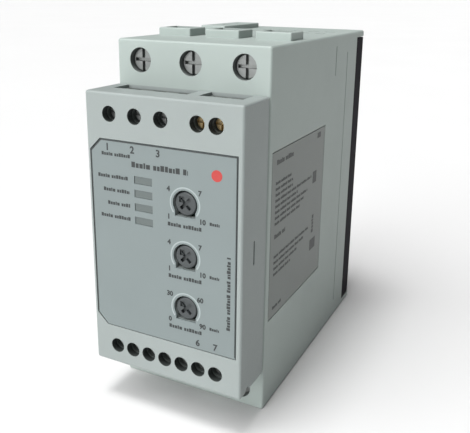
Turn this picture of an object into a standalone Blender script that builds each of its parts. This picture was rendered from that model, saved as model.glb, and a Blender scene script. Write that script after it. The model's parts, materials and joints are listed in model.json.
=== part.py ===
"""Three-phase solid-state motor controller for a 35 mm mounting rail, 45 mm wide.

Frame: X to the right, Y to the back, Z up. Every dimension below is in millimetres, with Y = 0 in
the middle between the cover's face and the heat sink's back; make_object turns a finished shape into
metres. Everything hangs from an empty that carries it forward by half of the rail mount's depth, so
that the finished origin is on the ground, under the middle of the whole box.
"""

import math

import bmesh
import bpy
from mathutils import Matrix, Vector

MM = 0.001
GAP = 0.3            # clearance between pieces that touch on the real object
PAST = 1.0           # how far a cutter runs past the face that it opens
FINE, COARSE = 20, 12                # sides of a visible round shape and of a small or hidden one
CROSS_SHARE = 0.62   # length of a cross slot's short arm, as a share of its long one

# Envelope: the front cover stands STEP in front of the power terminal faces
WIDTH, HEIGHT, DEPTH = 45.0, 100.0, 94.0
SIDE = WIDTH / 2
FRONT_Y, BACK_Y = -DEPTH / 2, DEPTH / 2
STEP_Y = FRONT_Y + 14.5
SIDE_END_Y = FRONT_Y + 86.0
COVER_MARGIN = 12.0  # height of the power terminal blocks above and below the front cover
WALL = 2.0
INNER = SIDE - WALL

# Vent slots over the fins, and a low pad round the leftmost of them on the top
VENT_ROWS, VENT_PITCH, VENT_SIZE = (20.0, 29.0), 5.4, (3.6, 1.8)
PAD_X, PAD_Y, PAD_HEIGHT = (-22.1, -13.4), (12.0, 38.4), 1.6

# Power terminals: screw along Y, wire along Z
POLES = {1: -15.3, 2: 0.0, 3: 15.3}
POWER_Z = 94.6
POWER_BORE_R, POWER_NECK_R = 3.3, 2.3
POWER_HEAD_R, POWER_SHANK_R = 3.1, 2.0
POWER_HEAD_Y, POWER_HEAD_LENGTH = -30.9, 2.2
POWER_TIP_Y = -16.0
POWER_SLOT, CONTROL_SLOT, MODULE_SLOT = (0.9, 1.2), (0.6, 0.8), (0.6, 0.9)  # width and depth
POCKET_X, POCKET_Y, POCKET_Z = 5.9, (-24.8, -5.2), (86.0, 98.3)
ENTRY_X, ENTRY_Y = 3.8, (-14.2, -7.6)
COLLAR_X, COLLAR_Y, COLLAR_HEIGHT = 5.2, (-15.4, -6.4), 2.2
CLAMP_X, CLAMP_Y, CLAMP_Z = 5.2, (-19.2, -6.2), (88.9, 97.9)
CLAMP_WINDOW_X, CLAMP_WINDOW_Y = 3.9, (-17.2, -8.0)
BAR_X, BAR_Y, BAR_END_Z = 3.2, (-15.7, -14.2), 97.4
BAR_SHELF_Z, BAR_DROP_Y, BAR_DROP_Z, BAR_THICK = 81.5, 2.7, 64.0, 1.5

# Control terminals: the same screw direction, in the front cover
CONTROL_PITCH = 5.08
CONTROL_Z = 82.5
UPPER_THREE = [-3 * CONTROL_PITCH, -1.5 * CONTROL_PITCH, 0.0]
UPPER_TWO = [2 * CONTROL_PITCH, 3 * CONTROL_PITCH]
LOWER_SEVEN = [CONTROL_PITCH * step for step in range(-3, 4)]
CONTROL_HOLE_R = 2.05
CONTROL_HEAD_R, CONTROL_SHANK_R = 1.85, 1.25
CONTROL_HEAD_Y, CONTROL_HEAD_LENGTH, CONTROL_TIP_Y = -43.8, 1.5, -39.0
TERMINAL_SIDE = 3.1  # plastic beside the outermost control screw
TERMINAL_Y, TERMINAL_Z = (-44.7, -31.7), (78.6, 85.7)
RISER_Y, RISER_TOP = (-39.8, -33.8), 87.2
WIRE_WINDOW_X, WIRE_WINDOW_Y, WIRE_WINDOW_Z = 1.9, (-38.6, -34.8), 80.0

# Face: label plate, dials and indicator windows
LABEL_X, LABEL_Z, LABEL_CHAMFER = (-21.4, 20.9), (23.5, 75.8), 3.2
LABEL_THICK, LABEL_RECESS, LABEL_MARGIN = 0.5, 0.8, 0.25
DIAL_X, DIAL_ZS = 6.7, {"ramp_up": 62.2, "ramp_down": 48.2, "start_torque": 34.0}
DIAL_R, DIAL_OPENING_R, DIAL_FLAT = 3.1, 3.5, (2.9, 3.4)
DIAL_FRONT_Y, DIAL_BACK_Y, DIAL_SHAFT_R, DIAL_SHAFT_END_Y = -46.7, -44.6, 1.5, -34.0
DIAL_REST_TURN = math.radians(45)  # anticlockwise from straight up, seen from the front
WINDOW_X, WINDOW_W, WINDOW_H = -5.45, 5.4, 2.0
WINDOW_ZS = [66.3 - 3.6 * row for row in range(4)]
GUIDE_X, GUIDE_THICK, GUIDE_MARGIN, PANE_DEPTH, PIPE_R = 2.9, 1.6, 1.6, 0.2, 1.0  # light guide
TRIMMER_HALF, TRIMMER_Y = 4.7, (-36.7, -31.7)

# Side label
SIDE_LABEL_OUTLINE = ((-30.4, 10.2), (26.2, 73.4))  # its recess in the housing, Y and Z
SIDE_LABEL_RECESS, LABEL_GAP = 0.6, 0.25

# Small features of the two shells
GROOVES = (((17.2, 17.8), (87.5, 96.5)), ((28.8, 29.4), (6.0, 94.0)))
GROOVE_DEPTH = 0.3
TONGUE_Y, TONGUE_Z, TONGUE_THICK = (-46.0, -27.4), (46.5, 53.5), 1.6
BARB_Y, BARB_REACH = (-29.3, -27.6), 0.6
SNAP_Y, SNAP_Z = (-40.7, -39.9), (46.9, 53.2)
NOTCH_Y, NOTCH_R, NOTCH_LENGTH = -42.4, 1.7, 8.0

# Inside
BOARD_X, BOARD_Y, BOARD_MARGIN = 20.2, (-31.4, -29.8), 13.6
POWER_BOARD_X, POWER_BOARD_Y, POWER_BOARD_MARGIN = 19.8, (-22.0, -20.4), 18.0
MODULE_X, MODULE_Y, MODULE_MARGIN = (3.0, 19.8), (3.0, 12.7), 26.0
MODULE_SCREW_X, MODULE_SCREW_MARGIN = 6.0, 30.0
MODULE_HEAD_R, MODULE_HEAD_LENGTH, MODULE_SHANK_R, MODULE_SCREW_LENGTH = 2.6, 2.0, 1.2, 15.3
MODULE_HOLE_R, MODULE_DRIVE_REACH = 1.6, 1.5
CHIP_HEIGHT, BETWEEN_BOARDS = 1.6, (-29.5, -22.3)
LAMP_X, LAMP_Z = 0.9, 0.7
CHIPS = (((-14.0, -7.0), (37.0, 44.0)), ((-14.0, -9.0), (26.0, 32.0)))  # X and Z
DRIVER_XS, DRIVER_WIDTH, DRIVER_Z, DRIVER_HEIGHT = (-17.0, -7.0), 7.0, (68.0, 74.0), 3.2
CONNECTOR_X, CONNECTOR_Z = (12.0, 17.0), (55.0, 75.0)
TRANSFORMER_X, TRANSFORMER_Z = (-18.0, 2.0), (24.0, 48.0)
WINDING_XS, WINDING_X, WINDING_Z, WINDING_DEPTH = (-12.7, -3.3), 2.3, (28.0, 44.0), 3.1
CAPACITOR_R, CAPACITOR_HALF, CAPACITOR_PLACE = 3.2, 10.0, (11.0, -25.9, 36.0)
RELAY_X, RELAY_Y, RELAY_Z = (4.5, 19.5), (-19.9, -5.0), (34.0, 62.0)

# Heat sink: base plate, vertical fins behind it, flanges that cover the housing's side walls
SINK_Y, SINK_BASE, SINK_MARGIN = 13.0, 4.0, 2.3
SINK_INNER_X, SINK_OUTER_X, SINK_WALL = 20.2, 22.3, 2.0
FINS, FIN_THICK = 7, 1.4

# Rail mount behind the heat sink: a bracket with a fixed hook above and a sliding latch below
RAIL_Z, RAIL_SEAT_Y = (32.0, 68.0), BACK_Y
MOUNT_DEPTH = 4.5    # from the rail's seat to the back of the hooks
HOOKS_Y = RAIL_SEAT_Y + MOUNT_DEPTH
BRACKET_X, BRACKET_Z, BRACKET_THICK, HOOK_X = 11.0, (8.0, 78.0), 1.0, 9.0
LATCH_X, LATCH_Y, LATCH_Z = 9.1, (RAIL_SEAT_Y + GAP, HOOKS_Y), (4.6, 31.6)
LATCH_BACK_X, LATCH_LIP_X, LATCH_STEP_Y = 7.9, 7.0, RAIL_SEAT_Y + 3.4
LIP_Y, LIP_REACH = (RAIL_SEAT_Y + 1.4, HOOKS_Y), 34.0
SPRING_Z, SPRING_R, SPRING_WIRE_R, SPRING_TURNS = (13.1, 25.7), 1.35, 0.28, 5
SPRING_CENTRE_Y, SPRING_STOP_END_Y = RAIL_SEAT_Y + 2.4, RAIL_SEAT_Y + 3.9
SLOT_X, SLOT_Z = 2.2, (10.0, 26.0)   # window in the latch for the spring and its stop

COLOURS = {  # base colour, roughness, metallic
    "housing_grey": ((0.60, 0.63, 0.61), 0.55, 0.0),
    "cover_grey": ((0.62, 0.65, 0.63), 0.50, 0.0),
    "label_silver": ((0.40, 0.44, 0.44), 0.40, 0.2),
    "side_label_grey": ((0.46, 0.49, 0.48), 0.50, 0.0),
    "sink_black": ((0.02, 0.018, 0.024), 0.45, 0.6),
    "dial_grey": ((0.05, 0.052, 0.055), 0.45, 0.0),
    "window_grey": ((0.25, 0.28, 0.26), 0.30, 0.0),
    "screw_steel": ((0.55, 0.56, 0.55), 0.35, 1.0),
    "screw_brass": ((0.62, 0.48, 0.25), 0.35, 1.0),
    "clamp_zinc": ((0.62, 0.62, 0.60), 0.30, 1.0),
    "copper": ((0.80, 0.45, 0.30), 0.30, 1.0),
    "terminal_grey": ((0.45, 0.48, 0.46), 0.55, 0.0),
    "board_green": ((0.03, 0.16, 0.07), 0.50, 0.0),
    "trimmer_blue": ((0.04, 0.12, 0.40), 0.45, 0.0),
    "moulded_black": ((0.03, 0.03, 0.03), 0.50, 0.0),
    "relay_white": ((0.70, 0.70, 0.66), 0.45, 0.0),
    "spring_steel": ((0.50, 0.50, 0.50), 0.30, 1.0),
    "sleeve_blue": ((0.05, 0.08, 0.22), 0.35, 0.0),
}


# Helpers

def clear_scene():
    for obj in list(bpy.data.objects):
        bpy.data.objects.remove(obj, do_unlink=True)


def new_collection(name):
    collection = bpy.data.collections.new(name)
    bpy.context.scene.collection.children.link(collection)
    return collection


def make_material(name):
    colour, roughness, metallic = COLOURS[name]
    material = bpy.data.materials.new(name)
    material.use_nodes = True
    shader = material.node_tree.nodes["Principled BSDF"]
    shader.inputs["Base Color"].default_value = (*colour, 1.0)
    shader.inputs["Roughness"].default_value = roughness
    shader.inputs["Metallic"].default_value = metallic
    return material


def add_box(bm, xs, ys, zs):
    """A block between two values on each axis, given in either order."""
    ranges = [sorted(values) for values in (xs, ys, zs)]
    made = bmesh.ops.create_cube(bm, size=1.0)["verts"]
    bmesh.ops.scale(bm, vec=[high - low for low, high in ranges], verts=made)
    bmesh.ops.translate(bm, vec=[(low + high) / 2 for low, high in ranges], verts=made)
    return made


def add_rod(bm, x, z, radius, ys, segments=24):
    """A cylinder along Y."""
    low, high = sorted(ys)
    place = Matrix.Translation((x, (low + high) / 2, z)) @ Matrix.Rotation(math.radians(90), 4, "X")
    bmesh.ops.create_cone(
        bm, cap_ends=True, segments=segments, radius1=radius, radius2=radius, depth=high - low,
        matrix=place,
    )


def boxes(*ranges):
    bm = bmesh.new()
    for xs, ys, zs in ranges:
        add_box(bm, xs, ys, zs)
    return bm


def rods(centres, radius, ys, segments=24):
    bm = bmesh.new()
    for x, z in centres:
        add_rod(bm, x, z, radius, ys, segments)
    return bm


def link_object(name, mesh, origin, material):
    mesh.transform(Matrix.Translation(-Vector(origin)))
    mesh.transform(Matrix.Scale(MM, 4))
    obj = bpy.data.objects.new(name, mesh)
    obj.location = Vector(origin) * MM
    (parts if material else cutters).objects.link(obj)
    if material:
        mesh.materials.append(materials[material])
        mesh.shade_smooth()
        mesh.set_sharp_from_angle(angle=math.radians(35))
    else:
        obj.hide_render = True
        obj.display_type = "WIRE"
    return obj


def make_object(name, bm, material=None, origin=(0, 0, 0), round_by=0.0):
    """A shape as an object at its origin; without a material it is a cutter or another helper."""
    mesh = bpy.data.meshes.new(name)
    bm.to_mesh(mesh)
    bm.free()
    obj = link_object(name, mesh, origin, material)
    if round_by:
        bevel = obj.modifiers.new("rounded edges", "BEVEL")
        bevel.width = round_by * MM
        bevel.segments = 2
        bevel.limit_method = "ANGLE"
    return obj


def combine(obj, helper, operation):
    boolean = obj.modifiers.new(helper.name, "BOOLEAN")
    boolean.operation = operation
    boolean.solver = "EXACT"
    boolean.object = helper


def cut(obj, name, bm):
    helper = make_object(f"{obj.name} {name}", bm)
    combine(obj, helper, "DIFFERENCE")


def join(obj, name, bm, round_by=0.0):
    helper = make_object(f"{obj.name} {name}", bm, round_by=round_by)
    combine(obj, helper, "UNION")


def make_turned(name, profile, material, origin, segments=16):
    """A profile of (radius, height) points turned round Z, then laid along Y with its top in front."""
    mesh = bpy.data.meshes.new(name)
    points = [(radius * MM, 0.0, height * MM) for radius, height in profile]
    mesh.from_pydata(points, [(i, i + 1) for i in range(len(points) - 1)], [])
    mesh.materials.append(materials[material])
    obj = bpy.data.objects.new(name, mesh)
    parts.objects.link(obj)
    obj.location = Vector(origin) * MM
    obj.rotation_euler.x = math.radians(90)
    screw = obj.modifiers.new("turned", "SCREW")
    screw.steps = screw.render_steps = segments
    screw.use_merge_vertices = True
    screw.merge_threshold = 0.00001
    screw.use_smooth_shade = False
    return obj


def around(middle, reach):
    return (middle - reach, middle + reach)


def wider(values, margin):
    return (values[0] - margin, values[1] + margin)


def mirrored(z, lower):
    return HEIGHT - z if lower else z


def span(zs, lower):
    return tuple(mirrored(z, lower) for z in zs)


def both_ends():
    """The line side is at the top of the object and the load side at the bottom."""
    return (("line", False), ("load", True))


# Shell

def make_main_housing():
    block = boxes((around(0, SIDE), (STEP_Y, BACK_Y), (0, HEIGHT)))
    body = make_object("main_housing", block, "housing_grey", round_by=0.6)
    collar_z = (HEIGHT - WALL / 2, HEIGHT + COLLAR_HEIGHT)
    collars = [(around(x, COLLAR_X), COLLAR_Y, collar_z) for x in POLES.values()]
    join(body, "collars", boxes(*collars), round_by=0.35)
    join(body, "pad", boxes((PAD_X, PAD_Y, (HEIGHT - WALL / 2, HEIGHT + PAD_HEIGHT))), round_by=0.35)
    whole_width, inner_width = (-SIDE - PAST, SIDE + PAST), (-INNER, INNER)
    between_ends = (WALL, HEIGHT - WALL)
    behind_cover = (COVER_MARGIN + PAST, HEIGHT - COVER_MARGIN - PAST)
    cut(body, "back", boxes((whole_width, (SIDE_END_Y, BACK_Y + PAST), between_ends)))
    cut(body, "room", boxes((inner_width, (STEP_Y - PAST, SINK_Y), behind_cover)))
    cut(body, "sink bay", boxes((inner_width, (SINK_Y - GAP, BACK_Y), between_ends)))
    for side, lower in both_ends():
        cut_power_terminals(body, side, lower)
    cut(body, "label recess", boxes(((SIDE - SIDE_LABEL_RECESS, SIDE + PAST), *SIDE_LABEL_OUTLINE)))
    for side, sign in (("left", -1), ("right", 1)):
        outer = (sign * (SIDE - GROOVE_DEPTH), sign * (SIDE + PAST))
        cut(body, f"{side} grooves", boxes(*((outer, ys, zs) for ys, zs in GROOVES)))
        hook = (sign * (INNER - PAST), sign * (INNER + BARB_REACH + GAP))
        cut(body, f"{side} catch", boxes((hook, wider(BARB_Y, GAP), wider(TONGUE_Z, PAST))))


def cut_power_terminals(body, side, lower):
    """Clamp pockets, screw bores, wire entries and the vents over the fins at one end."""
    end = HEIGHT + COLLAR_HEIGHT + PAST
    pockets, entries = [], []
    for x in POLES.values():
        pockets.append((around(x, POCKET_X), POCKET_Y, span(POCKET_Z, lower)))
        entries.append((around(x, ENTRY_X), ENTRY_Y, span((POCKET_Z[1] - PAST, end), lower)))
    centres = [(x, mirrored(POWER_Z, lower)) for x in POLES.values()]
    shoulder = POWER_HEAD_Y + POWER_HEAD_LENGTH + GAP
    cut(body, f"{side} pockets", boxes(*pockets))
    cut(body, f"{side} wire entries", boxes(*entries))
    neck_y = (shoulder - PAST, POCKET_Y[0] + PAST)
    cut(body, f"{side} screw bores", rods(centres, POWER_BORE_R, (STEP_Y - PAST, shoulder)))
    cut(body, f"{side} screw necks", rods(centres, POWER_NECK_R, neck_y, COARSE))
    rear = ((-INNER, INNER), (POCKET_Y[1] + WALL, SINK_Y), span((POCKET_Z[0], HEIGHT - WALL), lower))
    cut(body, f"{side} rear room", boxes(rear))
    through_end = span((HEIGHT - WALL - PAST, end), lower)
    vents = []
    for row in VENT_ROWS:
        for column in range(-3, 4):
            xs = around(VENT_PITCH * column, VENT_SIZE[0] / 2)
            vents.append((xs, around(row, VENT_SIZE[1] / 2), through_end))
    cut(body, f"{side} vents", boxes(*vents))


def make_front_cover():
    block = boxes((around(0, SIDE), (FRONT_Y, STEP_Y - GAP), (COVER_MARGIN, HEIGHT - COVER_MARGIN)))
    body = make_object("front_cover", block, "cover_grey", round_by=0.6)
    inner_z = (COVER_MARGIN + WALL, HEIGHT - COVER_MARGIN - WALL)
    cut(body, "room", boxes(((-INNER, INNER), (FRONT_Y + WALL, STEP_Y + PAST), inner_z)))
    tongues, barbs = [], []
    outer = INNER - GAP
    for sign in (-1, 1):
        tongues.append(((sign * (outer - TONGUE_THICK), sign * outer), TONGUE_Y, TONGUE_Z))
        barbs.append(((sign * (outer - PAST), sign * (INNER + BARB_REACH)), BARB_Y, TONGUE_Z))
    join(body, "tongues", boxes(*tongues))
    join(body, "barbs", boxes(*barbs))
    recess = label_outline(LABEL_MARGIN, (FRONT_Y - PAST, FRONT_Y + LABEL_RECESS))
    cut(body, "label recess", recess)
    cut_face_openings(body)
    centres = [(x, CONTROL_Z) for x in UPPER_THREE + UPPER_TWO]
    centres += [(x, HEIGHT - CONTROL_Z) for x in LOWER_SEVEN]
    cut(body, "control holes", rods(centres, CONTROL_HOLE_R, (FRONT_Y - PAST, FRONT_Y + WALL + PAST), FINE))
    slots = []
    wall_z = wider((inner_z[1], HEIGHT - COVER_MARGIN), PAST)
    ys = wider(RISER_Y, GAP)
    for poles, is_lower in ((UPPER_THREE, False), (UPPER_TWO, False), (LOWER_SEVEN, True)):
        xs = (poles[0] - TERMINAL_SIDE - GAP, poles[-1] + TERMINAL_SIDE + GAP)
        slots.append((xs, ys, span(wall_z, is_lower)))
    cut(body, "wire slots", boxes(*slots))
    snap = [((sign * (INNER + 0.1), sign * (SIDE + PAST)), SNAP_Y, SNAP_Z) for sign in (-1, 1)]
    cut(body, "snap slots", boxes(*snap))
    notches = bmesh.new()
    across = Matrix.Rotation(math.radians(90), 4, "Y")
    for sign in (-1, 1):
        place = Matrix.Translation((sign * SIDE, NOTCH_Y, COVER_MARGIN)) @ across
        bmesh.ops.create_cone(notches, cap_ends=True, segments=FINE, radius1=NOTCH_R, radius2=NOTCH_R,
                              depth=NOTCH_LENGTH, matrix=place)
    cut(body, "thumb notches", notches)


def label_outline(margin, ys):
    """The face label's outline, with its two left corners chamfered."""
    bm = bmesh.new()
    xs = (LABEL_X[0] - margin, LABEL_X[1] + margin)
    zs = (LABEL_Z[0] - margin, LABEL_Z[1] + margin)
    add_box(bm, xs, ys, zs)
    left = [e for e in bm.edges if all(abs(v.co.x - xs[0]) < 0.001 for v in e.verts)
            and abs(e.verts[0].co.z - e.verts[1].co.z) < 0.001]
    bmesh.ops.bevel(bm, geom=left, offset=LABEL_CHAMFER, segments=1, affect="EDGES")
    return bm


def cut_face_openings(body):
    """Openings of the dials and the indicator windows, the same in the cover and in its label."""
    ys = (FRONT_Y - PAST, FRONT_Y + WALL + PAST)
    dials = DIAL_ZS.values()
    flats = [(around(DIAL_X, DIAL_FLAT[0]), ys, (z - DIAL_FLAT[1], z)) for z in dials]
    windows = [(around(WINDOW_X, WINDOW_W / 2), ys, around(z, WINDOW_H / 2)) for z in WINDOW_ZS]
    cut(body, "dial openings", rods([(DIAL_X, z) for z in dials], DIAL_OPENING_R, ys))
    cut(body, "dial flats", boxes(*flats))
    cut(body, "windows", boxes(*windows))


def make_labels():
    outline = label_outline(0.0, (FRONT_Y, FRONT_Y + LABEL_THICK))
    face = make_object("face_label", outline, "label_silver")
    cut_face_openings(face)
    ys, zs = (wider(values, -LABEL_GAP) for values in SIDE_LABEL_OUTLINE)
    make_object("side_label", boxes(((SIDE - GAP, SIDE), ys, zs)), "side_label_grey")


# Terminals

def cut_drive(screw, x, z, front, reach, width, depth):
    """A slot right across the head and a shorter one across it, for a flat or a cross driver."""
    ys = (front - PAST, front + depth)
    cut(screw, "slot", boxes((around(x, width / 2), ys, around(z, reach))))
    cut(screw, "cross", boxes((around(x, CROSS_SHARE * reach), ys, around(z, width / 2))))


def screw_profile(head_r, shank_r, head_length, length):
    """From the head's face at height 0 down to the tip."""
    under = -head_length
    return [(0, 0), (head_r, 0), (head_r, under), (shank_r, under), (shank_r, -length), (0, -length)]


def make_power_terminal(side, lower, pole, x):
    z = mirrored(POWER_Z, lower)
    length = POWER_TIP_Y - POWER_HEAD_Y
    screw = make_turned(
        f"{side}_screw_{pole}",
        screw_profile(POWER_HEAD_R, POWER_SHANK_R, POWER_HEAD_LENGTH, length),
        "screw_steel",
        (x, POWER_HEAD_Y, z),
    )
    cut_drive(screw, x, z, POWER_HEAD_Y, POWER_HEAD_R + PAST, *POWER_SLOT)
    clamp = make_object(
        f"{side}_clamp_{pole}",
        boxes((around(x, CLAMP_X), CLAMP_Y, span(CLAMP_Z, lower))),
        "clamp_zinc",
        origin=(x, CLAMP_Y[0], z),
        round_by=0.5,
    )
    right_through = span(wider(CLAMP_Z, PAST), lower)
    hole_y = (CLAMP_Y[0] - PAST, CLAMP_WINDOW_Y[0] + PAST)
    cut(clamp, "wire window", boxes((around(x, CLAMP_WINDOW_X), CLAMP_WINDOW_Y, right_through)))
    cut(clamp, "screw hole", rods([(x, z)], POWER_NECK_R, hole_y, COARSE))


def make_bus_bars():
    """Poles 1 and 3 run to the thyristor modules; pole 2 runs straight through."""
    for side, lower in both_ends():
        for pole in (1, 3):
            xs = around(POLES[pole], BAR_X)
            bar = make_object(
                f"{side}_bar_{pole}",
                boxes((xs, BAR_Y, span((BAR_SHELF_Z - BAR_THICK, BAR_END_Z), lower))),
                "copper",
            )
            shelf = span((BAR_SHELF_Z - BAR_THICK, BAR_SHELF_Z), lower)
            join(bar, "shelf", boxes((xs, (BAR_Y[0], BAR_DROP_Y), shelf)))
            drop = span((BAR_DROP_Z, BAR_SHELF_Z), lower)
            join(bar, "drop", boxes((xs, (BAR_DROP_Y - BAR_THICK, BAR_DROP_Y), drop)))
    make_object(
        "through_bar_2",
        boxes(((-BAR_X, BAR_X), BAR_Y, (HEIGHT - BAR_END_Z, BAR_END_Z))),
        "copper",
    )


def make_control_terminals(name, poles, lower, metal):
    xs = (poles[0] - TERMINAL_SIDE, poles[-1] + TERMINAL_SIDE)
    body = make_object(name, boxes((xs, TERMINAL_Y, span(TERMINAL_Z, lower))), "terminal_grey")
    join(body, "riser", boxes((xs, RISER_Y, span((TERMINAL_Z[1] - PAST, RISER_TOP), lower))))
    z = mirrored(CONTROL_Z, lower)
    centres = [(x, z) for x in poles]
    seat = CONTROL_HEAD_Y + CONTROL_HEAD_LENGTH + GAP
    window_z = span((WIRE_WINDOW_Z, RISER_TOP + PAST), lower)
    windows = [(around(x, WIRE_WINDOW_X), WIRE_WINDOW_Y, window_z) for x in poles]
    cut(body, "head bores", rods(centres, CONTROL_HOLE_R, (TERMINAL_Y[0] - PAST, seat), COARSE))
    cut(body, "shank bores", rods(centres, CONTROL_SHANK_R + GAP, (seat - PAST, WIRE_WINDOW_Y[0] + PAST), 8))
    cut(body, "wire windows", boxes(*windows))
    length = CONTROL_TIP_Y - CONTROL_HEAD_Y
    profile = screw_profile(CONTROL_HEAD_R, CONTROL_SHANK_R, CONTROL_HEAD_LENGTH, length)
    for number, x in enumerate(poles, start=1):
        screw = make_turned(f"{name}_screw_{number}", profile, metal, (x, CONTROL_HEAD_Y, z), COARSE)
        cut_drive(screw, x, z, CONTROL_HEAD_Y, CONTROL_HEAD_R + PAST, *CONTROL_SLOT)


# Face pieces

def make_dial(name, z):
    """A trim dial with a driver slot whose long end points at the scale, and its potentiometer."""
    head = DIAL_BACK_Y - DIAL_FRONT_Y
    length = DIAL_SHAFT_END_Y - DIAL_FRONT_Y
    profile = [(0, 0), (DIAL_R - 0.4, 0), (DIAL_R, -0.4), (DIAL_R, -head), (DIAL_SHAFT_R, -head),
               (DIAL_SHAFT_R, -length), (0, -length)]
    dial = make_turned(f"{name}_dial", profile, "dial_grey", (DIAL_X, DIAL_FRONT_Y, z), FINE)
    drive = boxes(((-0.45, 0.45), (-PAST, 0.9), (-1.9, 2.4)))
    arms = boxes(((-1.9, 1.9), (-PAST, 0.9), (-0.45, 0.45)))
    turn = Matrix.Translation((DIAL_X, DIAL_FRONT_Y, z)) @ Matrix.Rotation(-DIAL_REST_TURN, 4, "Y")
    for part_name, bm in (("slot", drive), ("arms", arms)):
        bm.transform(turn)
        cut(dial, part_name, bm)
    body = boxes((around(DIAL_X, TRIMMER_HALF), TRIMMER_Y, around(z, TRIMMER_HALF)))
    trimmer = make_object(f"{name}_trimmer", body, "trimmer_blue", round_by=0.4)
    bore_y = (TRIMMER_Y[0] - PAST, DIAL_SHAFT_END_Y + 2 * GAP)
    cut(trimmer, "rotor bore", rods([(DIAL_X, z)], DIAL_SHAFT_R + GAP, bore_y, COARSE))


def make_light_guide():
    plate_y = FRONT_Y + WALL + GAP
    heights = wider((WINDOW_ZS[-1], WINDOW_ZS[0]), GUIDE_MARGIN)
    plate = boxes((around(WINDOW_X, GUIDE_X), (plate_y, plate_y + GUIDE_THICK), heights))
    guide = make_object("light_guide", plate, "window_grey")
    half_w, half_h = WINDOW_W / 2 - LABEL_GAP, WINDOW_H / 2 - LABEL_GAP
    pane_y = (FRONT_Y + PANE_DEPTH, plate_y + PAST / 2)
    panes = [(around(WINDOW_X, half_w), pane_y, around(z, half_h)) for z in WINDOW_ZS]
    join(guide, "panes", boxes(*panes))
    pipe_y = (plate_y + PAST, BOARD_Y[0] - CHIP_HEIGHT - 2 * GAP)
    join(guide, "pipes", rods([(WINDOW_X, z) for z in WINDOW_ZS], PIPE_R, pipe_y, 8))


# Electronics

def make_boards():
    plate = boxes((around(0, BOARD_X), BOARD_Y, (BOARD_MARGIN, HEIGHT - BOARD_MARGIN)))
    control = make_object("control_board", plate, "board_green")
    inner, notch_z = INNER - GAP - TONGUE_THICK - GAP, wider(TONGUE_Z, 1.5)
    notches = [((sign * inner, sign * (BOARD_X + PAST)), wider(BOARD_Y, PAST), notch_z) for sign in (-1, 1)]
    cut(control, "catch notches", boxes(*notches))
    chip_y = (BOARD_Y[0] - CHIP_HEIGHT, BOARD_Y[0] + GAP)
    chips = [(around(WINDOW_X, LAMP_X), chip_y, around(z, LAMP_Z)) for z in WINDOW_ZS]
    chips += [(x, chip_y, z) for x, z in CHIPS]
    join(control, "lamps and chips", boxes(*chips))
    heights = (POWER_BOARD_MARGIN, HEIGHT - POWER_BOARD_MARGIN)
    plate = boxes((around(0, POWER_BOARD_X), POWER_BOARD_Y, heights))
    power = make_object("power_board", plate, "board_green")
    driver_y = (POWER_BOARD_Y[0] - DRIVER_HEIGHT, POWER_BOARD_Y[0] + GAP)
    join(power, "gate drivers", boxes(*(((x, x + DRIVER_WIDTH), driver_y, DRIVER_Z) for x in DRIVER_XS)))
    connector = boxes((CONNECTOR_X, BETWEEN_BOARDS, CONNECTOR_Z))
    make_object("board_connector", connector, "moulded_black", round_by=0.4)


def make_supply():
    """The mains transformer and the capacitor of the control supply, both on the power board's front."""
    core = boxes((TRANSFORMER_X, (BETWEEN_BOARDS[0] + 0.9, BETWEEN_BOARDS[1]), TRANSFORMER_Z))
    transformer = make_object("control_transformer", core, "moulded_black", round_by=0.5)
    window_y = (BETWEEN_BOARDS[0] - PAST, BETWEEN_BOARDS[0] + WINDING_DEPTH)
    windows = [(around(x, WINDING_X), window_y, WINDING_Z) for x in WINDING_XS]
    cut(transformer, "winding windows", boxes(*windows))
    can = rods([(0, 0)], CAPACITOR_R, around(0, CAPACITOR_HALF), 16)
    capacitor = make_object("supply_capacitor", can, "sleeve_blue")
    capacitor.rotation_euler.x = math.radians(90)
    capacitor.location = Vector(CAPACITOR_PLACE) * MM


def make_power_stage():
    front = MODULE_Y[0] - GAP - MODULE_HEAD_LENGTH
    profile = screw_profile(MODULE_HEAD_R, MODULE_SHANK_R, MODULE_HEAD_LENGTH, MODULE_SCREW_LENGTH)
    for pole, sign in ((1, -1), (3, 1)):
        xs = tuple(sign * x for x in MODULE_X)
        holes = [(sign * MODULE_SCREW_X, z) for z in (MODULE_SCREW_MARGIN, HEIGHT - MODULE_SCREW_MARGIN)]
        module = make_object(
            f"thyristor_module_{pole}",
            boxes((xs, MODULE_Y, (MODULE_MARGIN, HEIGHT - MODULE_MARGIN))),
            "moulded_black",
            round_by=0.6,
        )
        cut(module, "screw holes", rods(holes, MODULE_HOLE_R, (MODULE_Y[0] - PAST, MODULE_Y[1] + PAST), 16))
        relay = tuple(sign * x for x in RELAY_X)
        make_object(f"bypass_relay_{pole}", boxes((relay, RELAY_Y, RELAY_Z)), "relay_white", round_by=0.6)
        for place, (x, z) in zip(("lower", "upper"), holes):
            screw = make_turned(f"module_screw_{pole}_{place}", profile, "screw_steel", (x, front, z), COARSE)
            cut_drive(screw, x, z, front, MODULE_DRIVE_REACH, *MODULE_SLOT)


# Heat sink and rail mount

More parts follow.
